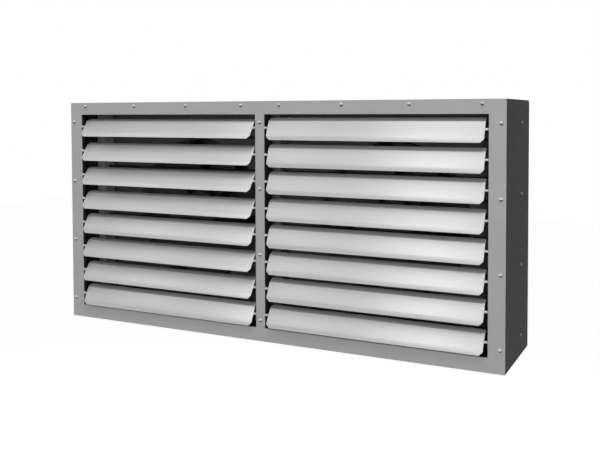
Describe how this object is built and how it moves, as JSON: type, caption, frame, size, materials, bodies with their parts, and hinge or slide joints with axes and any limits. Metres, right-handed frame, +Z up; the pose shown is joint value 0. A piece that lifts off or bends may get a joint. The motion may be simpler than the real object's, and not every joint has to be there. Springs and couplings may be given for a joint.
{
  "type": "ceiling mounted fan heater",
  "caption": "Long shallow sheet metal casing hung under a ceiling, with axial fans and heating elements inside that blow warm air out through banks of adjustable louvre blades.",
  "frame": {"origin": "middle of the flat top face, which goes up under the ceiling", "axes": "+X along the casing to the right as seen from the front, -Y towards the side that the warm air leaves by, +Z up"},
  "size_m": [1.2, 0.2708, 0.587],
  "materials": {
    "grey_paint": "satin powder coat",
    "dark_paint": "satin powder coat",
    "blade_aluminium": "satin anodised",
    "zinc_steel": "zinc plated sheet",
    "element_sheath": "oxidised sheath",
    "fan_steel": "black powder coat",
    "motor_casting": "die cast",
    "black_plastic": "moulded",
    "ceramic": "glazed ceramic",
    "screw_steel": "bright zinc plated steel"
  },
  "bodies": {
    "casing": {"front_frame": "grey_paint", "top_rear_panel": "dark_paint", "bottom_panel": "dark_paint", "side_panel_left": "dark_paint", "side_panel_right": "dark_paint", "centre_post": "dark_paint", "frame_screw_left_1": "screw_steel", "frame_screw_left_2": "screw_steel", "frame_screw_left_3": "screw_steel", "frame_screw_left_4": "screw_steel", "frame_screw_centre_1": "screw_steel", "frame_screw_centre_2": "screw_steel", "frame_screw_centre_3": "screw_steel", "frame_screw_centre_4": "screw_steel", "frame_screw_right_1": "screw_steel", "frame_screw_right_2": "screw_steel", "frame_screw_right_3": "screw_steel", "frame_screw_right_4": "screw_steel", "element_rack_left": "zinc_steel", "element_rack_right": "zinc_steel", "element_rack_centre": "dark_paint", "fan_bulkhead": "dark_paint", "heating_element_1": "element_sheath", "heating_element_2": "element_sheath", "heating_element_3": "element_sheath", "heating_element_4": "element_sheath", "heating_element_5": "element_sheath", "heating_element_6": "element_sheath", "fan_guard_left": "fan_steel", "fan_motor_left": "motor_casting", "fan_guard_right": "fan_steel", "fan_motor_right": "motor_casting", "terminal_box": "black_plastic", "terminal_box_lid": "black_plastic", "cable_gland": "black_plastic", "gland_locknut": "black_plastic", "terminal_block": "ceramic", "overheat_cutout": "ceramic", "suspension_nut_1": "zinc_steel", "suspension_nut_2": "zinc_steel", "suspension_nut_3": "zinc_steel", "suspension_nut_4": "zinc_steel"},
    "louvre_left_1": {"louvre_left_1": "blade_aluminium"},
    "louvre_left_2": {"louvre_left_2": "blade_aluminium"},
    "louvre_left_3": {"louvre_left_3": "blade_aluminium"},
    "louvre_left_4": {"louvre_left_4": "blade_aluminium"},
    "louvre_left_5": {"louvre_left_5": "blade_aluminium"},
    "louvre_left_6": {"louvre_left_6": "blade_aluminium"},
    "louvre_left_7": {"louvre_left_7": "blade_aluminium"},
    "louvre_left_8": {"louvre_left_8": "blade_aluminium"},
    "louvre_right_1": {"louvre_right_1": "blade_aluminium"},
    "louvre_right_2": {"louvre_right_2": "blade_aluminium"},
    "louvre_right_3": {"louvre_right_3": "blade_aluminium"},
    "louvre_right_4": {"louvre_right_4": "blade_aluminium"},
    "louvre_right_5": {"louvre_right_5": "blade_aluminium"},
    "louvre_right_6": {"louvre_right_6": "blade_aluminium"},
    "louvre_right_7": {"louvre_right_7": "blade_aluminium"},
    "louvre_right_8": {"louvre_right_8": "blade_aluminium"},
    "fan_impeller_left": {"fan_impeller_left": "fan_steel"},
    "fan_impeller_right": {"fan_impeller_right": "fan_steel"}
  },
  "joints": [
    {"name": "louvre_left_1_tilt", "type": "hinge", "parent": "casing", "child": "louvre_left_1", "pos_m": [-0.2875, -0.1147, -0.06463], "axis": [-1, 0, 0], "range_deg": [-33, 57]},
    {"name": "louvre_left_2_tilt", "type": "hinge", "parent": "casing", "child": "louvre_left_2", "pos_m": [-0.2875, -0.1147, -0.12987], "axis": [-1, 0, 0], "range_deg": [-32, 58]},
    {"name": "louvre_left_3_tilt", "type": "hinge", "parent": "casing", "child": "louvre_left_3", "pos_m": [-0.2875, -0.1147, -0.19512], "axis": [-1, 0, 0], "range_deg": [-35, 55]},
    {"name": "louvre_left_4_tilt", "type": "hinge", "parent": "casing", "child": "louvre_left_4", "pos_m": [-0.2875, -0.1147, -0.26038], "axis": [-1, 0, 0], "range_deg": [-34, 56]},
    {"name": "louvre_left_5_tilt", "type": "hinge", "parent": "casing", "child": "louvre_left_5", "pos_m": [-0.2875, -0.1147, -0.32562], "axis": [-1, 0, 0], "range_deg": [-28, 62]},
    {"name": "louvre_left_6_tilt", "type": "hinge", "parent": "casing", "child": "louvre_left_6", "pos_m": [-0.2875, -0.1147, -0.39087], "axis": [-1, 0, 0], "range_deg": [-35, 55]},
    {"name": "louvre_left_7_tilt", "type": "hinge", "parent": "casing", "child": "louvre_left_7", "pos_m": [-0.2875, -0.1147, -0.45613], "axis": [-1, 0, 0], "range_deg": [-33, 57]},
    {"name": "louvre_left_8_tilt", "type": "hinge", "parent": "casing", "child": "louvre_left_8", "pos_m": [-0.2875, -0.1147, -0.52138], "axis": [-1, 0, 0], "range_deg": [-25, 65]},
    {"name": "louvre_right_1_tilt", "type": "hinge", "parent": "casing", "child": "louvre_right_1", "pos_m": [0.2875, -0.1147, -0.06463], "axis": [-1, 0, 0], "range_deg": [-21, 69]},
    {"name": "louvre_right_2_tilt", "type": "hinge", "parent": "casing", "child": "louvre_right_2", "pos_m": [0.2875, -0.1147, -0.12987], "axis": [-1, 0, 0], "range_deg": [-19, 71]},
    {"name": "louvre_right_3_tilt", "type": "hinge", "parent": "casing", "child": "louvre_right_3", "pos_m": [0.2875, -0.1147, -0.19512], "axis": [-1, 0, 0], "range_deg": [-23, 67]},
    {"name": "louvre_right_4_tilt", "type": "hinge", "parent": "casing", "child": "louvre_right_4", "pos_m": [0.2875, -0.1147, -0.26038], "axis": [-1, 0, 0], "range_deg": [-26, 64]},
    {"name": "louvre_right_5_tilt", "type": "hinge", "parent": "casing", "child": "louvre_right_5", "pos_m": [0.2875, -0.1147, -0.32562], "axis": [-1, 0, 0], "range_deg": [-23, 67]},
    {"name": "louvre_right_6_tilt", "type": "hinge", "parent": "casing", "child": "louvre_right_6", "pos_m": [0.2875, -0.1147, -0.39087], "axis": [-1, 0, 0], "range_deg": [-26, 64]},
    {"name": "louvre_right_7_tilt", "type": "hinge", "parent": "casing", "child": "louvre_right_7", "pos_m": [0.2875, -0.1147, -0.45613], "axis": [-1, 0, 0], "range_deg": [-25, 65]},
    {"name": "louvre_right_8_tilt", "type": "hinge", "parent": "casing", "child": "louvre_right_8", "pos_m": [0.2875, -0.1147, -0.52138], "axis": [-1, 0, 0], "range_deg": [-29, 61]},
    {"name": "fan_impeller_left_spin", "type": "hinge", "parent": "casing", "child": "fan_impeller_left", "pos_m": [-0.2875, 0.063, -0.293], "axis": [0, 1, 0], "continuous": true},
    {"name": "fan_impeller_right_spin", "type": "hinge", "parent": "casing", "child": "fan_impeller_right", "pos_m": [0.2875, 0.063, -0.293], "axis": [0, 1, 0], "continuous": true}
  ]
}
